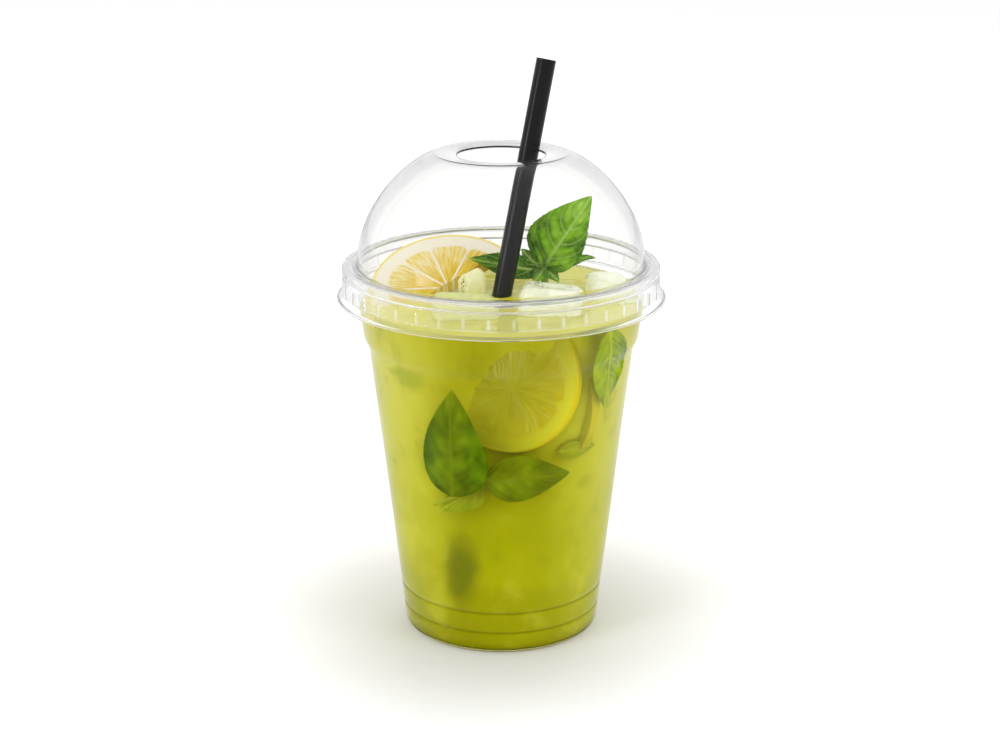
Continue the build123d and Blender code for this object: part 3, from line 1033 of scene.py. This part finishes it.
def make_sprig(material):
    parts = []
    for number, (tip, facing, widths, rise) in enumerate(SPRIG_LEAVES):
        # Painted shade: every leaf but the first is darkened.
        parts += placed_leaf(SPRIG_HEAD, tip, facing, widths, rise, 1.3 + 2.1 * number,
                             tone=-0.7 if number else 0.0)
    head = Vector(SPRIG_HEAD)
    stem = [head + Vector(p) for p in ((0.4, 0.3, 0.9), (0, 0, 0), (0.2, -0.2, -4), (0, 0, -9))]
    line = curve_through(stem)
    parts += tube(line, [1.25 - 0.2 * k / len(line) for k in range(len(line))])
    for number in range(4):
        turn = 0.6 + number * pi / 2
        bud = (2.6 * cos(turn), 2.0 * sin(turn), 2.6)
        parts += placed_leaf(SPRIG_HEAD, bud, (-cos(turn), -sin(turn), 0.8), (1.1, 1.1), 0.4,
                             9.0 + number, veins=4)
    make_piece("basil_top", parts, material, ["basil_sprig"])


# ---- ice
def make_ice(node, material, seed, strength, squeeze=1.0):
    """The CAD cube, remeshed, then melted into an uneven lump and narrowed towards +X."""
    made = put(node + "_melted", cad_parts[node].data.copy())
    remesh = made.modifiers.new("even_mesh", "REMESH")
    remesh.mode = "VOXEL"
    remesh.voxel_size = 0.5 * MM
    soften = made.modifiers.new("soften", "SMOOTH")
    soften.iterations = 24
    graph = bpy.context.evaluated_depsgraph_get()
    even = bpy.data.meshes.new_from_object(made.evaluated_get(graph))
    made.modifiers.clear()
    made.data = even
    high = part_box(node)[1]
    for vertex in even.vertices:
        here = vertex.co / MM
        broad = noise.noise(here * 0.09 + Vector((seed, 0, 0)))
        ripple = noise.noise(here * 0.22 + Vector((0, seed, 0)))
        shift = strength * (0.8 * broad + 0.15 * ripple) - 0.35
        vertex.co += vertex.normal * shift * MM
        vertex.co.x = high.x - (high.x - vertex.co.x) * squeeze
    even.polygons.foreach_set("use_smooth", [True] * len(even.polygons))
    even.materials.clear()
    even.materials.append(material)
    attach(made, "root")
    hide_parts(node)


# ---- the pieces
clear_cup = clear_plastic("cup_clear", (0.995, 0.995, 0.995, 1), (0.86, 0.87, 0.86, 1),
                          (0.5, 1.1), True)
clear_lid = clear_plastic("lid_clear", (0.99, 0.99, 0.992, 1), (0.70, 0.70, 0.72, 1),
                          (0.42, 0.85))
make_cup(clear_cup)
make_lid(clear_lid)
make_drink(lemonade_skin(), lemonade_cloud())

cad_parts["straw"].data.materials.clear()
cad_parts["straw"].data.materials.append(straw_black())

fresh_lemon = lemon_material("lemon_fresh")
sunk_lemon = lemon_material("lemon_sunk", FOG_DEPTH)
deep_lemon = lemon_material("lemon_deep", SIDE_FOG)
# The CAD's half slice, at the CAD's place
top_slice = lemon_slice(24.2, 5.0, 10, 1.0, cut=(39.4, 2.0))
top_place = Matrix.Translation((-16.0, -4.5, 109.8)) @ tilted(28.2, -2.1)
make_piece("lemon_half_slice", moved_parts(top_slice, top_place), fresh_lemon,
           ["lemon_slice"])
# Each sunk slice: middle, facing, radius, spin, material
SUNK_SLICES = {
    "sunk_slice_front": ((2.6, -26.2, 86.4), (-0.26, -0.93, 0.2), 20.3, 20.0, sunk_lemon),
    "sunk_slice_side": ((11.2, -13.6, 77.0), (-0.60, -0.80, 0.05), 19.0, 75.0, deep_lemon),
}
for number, (name, (middle, normal, radius, spin, look)) in enumerate(SUNK_SLICES.items()):
    shape = lemon_slice(radius, 3.5, 9, 3.0 + number)
    make_piece(name, moved_parts(shape, facing_matrix(middle, normal, spin)), look)

fresh_basil = basil_material(
    "basil_fresh", srgb(72, 126, 2), srgb(132, 190, 12), srgb(186, 226, 84), srgb(198, 228, 120),
    gloss=0.12)
dark_sunk_basil = basil_material(
    "basil_sunk_dark", srgb(62, 96, 8), srgb(104, 142, 26), srgb(146, 176, 60),
    srgb(130, 160, 60), LEAF_FOG)
pale_sunk_basil = basil_material(
    "basil_sunk_pale", srgb(124, 156, 70), srgb(176, 202, 112), srgb(214, 228, 160),
    srgb(216, 230, 170), FOG_DEPTH)
make_sprig(fresh_basil)
# Each sunk leaf: base, tip from the base, facing, half widths, rise, material
SUNK_LEAVES = {
    "sunk_leaf_left": ((-14.3, -30.0, 52.0), (0.2, -3.6, 35.0), (-0.41, -0.91, 0.0),
                       (9.4, 12.0), 1.2, dark_sunk_basil),
    "sunk_leaf_middle": ((-5.0, -32.6, 58.4), (25.0, 5.6, 0.4), (0.22, -0.97, 0.0),
                         (7.6, 7.4), 2.0, dark_sunk_basil),
    "sunk_leaf_right": ((31.0, -25.0, 101.5), (-0.8, 3.7, -24.5), (0.79, -0.61, 0.0),
                        (8.6, 8.2), 1.0, pale_sunk_basil),
    "sunk_leaf_low": ((-4.5, -28.6, 55.5), (-13.5, 2.0, -9.5), (-0.25, -0.92, 0.3),
                      (4.8, 4.4), 1.2, pale_sunk_basil),
    "sunk_leaf_faint": ((16.0, -26.4, 65.6), (10.6, 8.4, -0.6), (0.62, -0.78, 0.0),
                        (2.9, 2.7), 0.8, pale_sunk_basil),
}
for number, (name, (base, tip, facing, widths, rise, look)) in enumerate(SUNK_LEAVES.items()):
    make_piece(name, placed_leaf(base, tip, facing, widths, rise, 4.0 + number, fold=0.05,
                                 wave=0.3, swell=0.7), look)
stem = curve_through(((-19.5, -24.6, 47.6), (-13.0, -29.4, 52.2), (-4.5, -32.4, 58.6)))
make_piece("sunk_stem", tube(stem, [0.6] * len(stem), pale=0.6), pale_sunk_basil)

# Each ice: colour of the clear and of the frosted places, where frost begins, its least share. The
# frost is white with the drink's yellow-green light painted in.
clear_ice = ice_material("ice_clear", (0.96, 0.985, 0.95, 1), srgb(222, 228, 170), 0.54, 0.55)
cream_ice = ice_material("ice_cream", (0.98, 0.98, 0.93, 1), srgb(240, 238, 182), 0.50, 0.96)
frosted_ice = ice_material("ice_frosted", (0.97, 0.99, 0.96, 1), srgb(246, 248, 226), 0.42, 0.76)
make_ice("ice_front", clear_ice, 1.7, 1.0)
make_ice("ice_middle", cream_ice, 5.1, 0.8, 0.66)
make_ice("ice_centre", frosted_ice, 9.4, 1.1)
make_ice("ice_right", frosted_ice, 14.2, 1.0)


# ---- floor, light and camera
def backdrop_rays(tree):
    """How bright the backdrop is lifted: fully for the camera, less when seen through glass."""
    path = add(tree, "LightPath").outputs
    through = maths(tree, "MULTIPLY", path["Is Transmission Ray"], 0.55)
    return maths(tree, "MAXIMUM", path["Is Camera Ray"], through)


def make_floor():
    """Pale paper whose brightness is lifted away from the cup, so its shadow stays."""
    mesh = bpy.data.meshes.new("floor")
    reach, depth = 6.0, -0.0004
    corners = [(-reach, -reach, depth), (reach, -reach, depth), (reach, reach, depth),
               (-reach, reach, depth)]
    mesh.from_pydata(corners, [], [(0, 1, 2, 3)])
    made = put("floor", mesh)
    paper, tree = new_material("floor_paper")
    grain = noise_of(tree, place_of(tree), 30.0, 2.0)
    colour = blend(tree, grain, (0.76, 0.76, 0.76, 1), (0.78, 0.78, 0.78, 1))
    matt = bsdf(tree, "Diffuse", {"Color": colour})
    far = add(tree, "VectorMath", {0: place_of(tree)}, operation="LENGTH").outputs["Value"]
    lift = maths(tree, "MULTIPLY", backdrop_rays(tree), step_map(tree, far, 0.034, 0.10, 0.0, 0.32))
    light = add(tree, "Emission", {"Color": (1, 1, 1, 1), "Strength": lift}).outputs[0]
    finish_material(tree, add(tree, "AddShader", {0: matt, 1: light}).outputs[0])
    made.data.materials.append(paper)


def make_world():
    """White to the camera. Gloss and glass see a room that is greyer higher up."""
    world = bpy.data.worlds.new("studio")
    bpy.context.scene.world = world
    world.use_nodes = True
    tree = world.node_tree
    tree.nodes.clear()
    way = add(tree, "TexCoord").outputs["Generated"]
    up = add(tree, "SeparateXYZ", {0: way}).outputs[2]
    room = step_map(tree, up, 0.10, 0.55, 1.0, 0.5)
    path = add(tree, "LightPath").outputs
    seen = maths(tree, "MAXIMUM", path["Is Glossy Ray"], path["Is Transmission Ray"])
    plain = maths(tree, "MULTIPLY", maths(tree, "SUBTRACT", 1.0, seen), 0.85)
    strength = maths(tree, "ADD", plain, maths(tree, "MULTIPLY", seen, room))
    strength = maths(tree, "MAXIMUM", strength, path["Is Camera Ray"])
    shown = add(tree, "Background", {"Color": (1, 1, 1, 1), "Strength": strength}).outputs[0]
    add(tree, "OutputWorld", {"Surface": shown})


def make_lamp(name, place, aim, width, height, power, mirrored=False):
    """A soft lamp that gloss doesn't see. A mirrored one shows in gloss only."""
    lamp = bpy.data.lights.new(name, "AREA")
    lamp.shape = "RECTANGLE"
    lamp.size = width
    lamp.size_y = height
    lamp.energy = power
    made = put(name, lamp)
    made.location = place
    way = Vector(aim) - Vector(place)
    made.rotation_euler = way.to_track_quat("-Z", "Y").to_euler()
    made.visible_glossy = mirrored
    made.visible_diffuse = not mirrored
    made.visible_transmission = False


make_floor()
make_world()
CUP_MIDDLE = (0, 0, 0.08)
make_lamp("key", (-0.75, -0.55, 0.75), CUP_MIDDLE, 0.35, 0.8, 3.4)
make_lamp("fill", (0.9, -0.5, 0.55), CUP_MIDDLE, 0.5, 0.9, 2.6)
make_lamp("back", (0.2, 0.9, 0.8), CUP_MIDDLE, 0.8, 0.5, 3.2)
make_lamp("strip", (-0.78, -0.45, 0.095), (0, 0, 0.12), 0.24, 0.18, 4.5, True)

# The photo's own camera, solved from the ellipses and outlines that show
lens = bpy.data.cameras.new("camera")
lens.sensor_width = 36.0
lens.lens = 71.856
lens.shift_x = -0.0012
eye = put("camera", lens)
eye.location = (0.0, -0.59052, 0.26681)
eye.rotation_euler = (radians(72.4845), 0.0, 0.0)
bpy.context.scene.camera = eye
bpy.context.scene.view_settings.view_transform = "Standard"
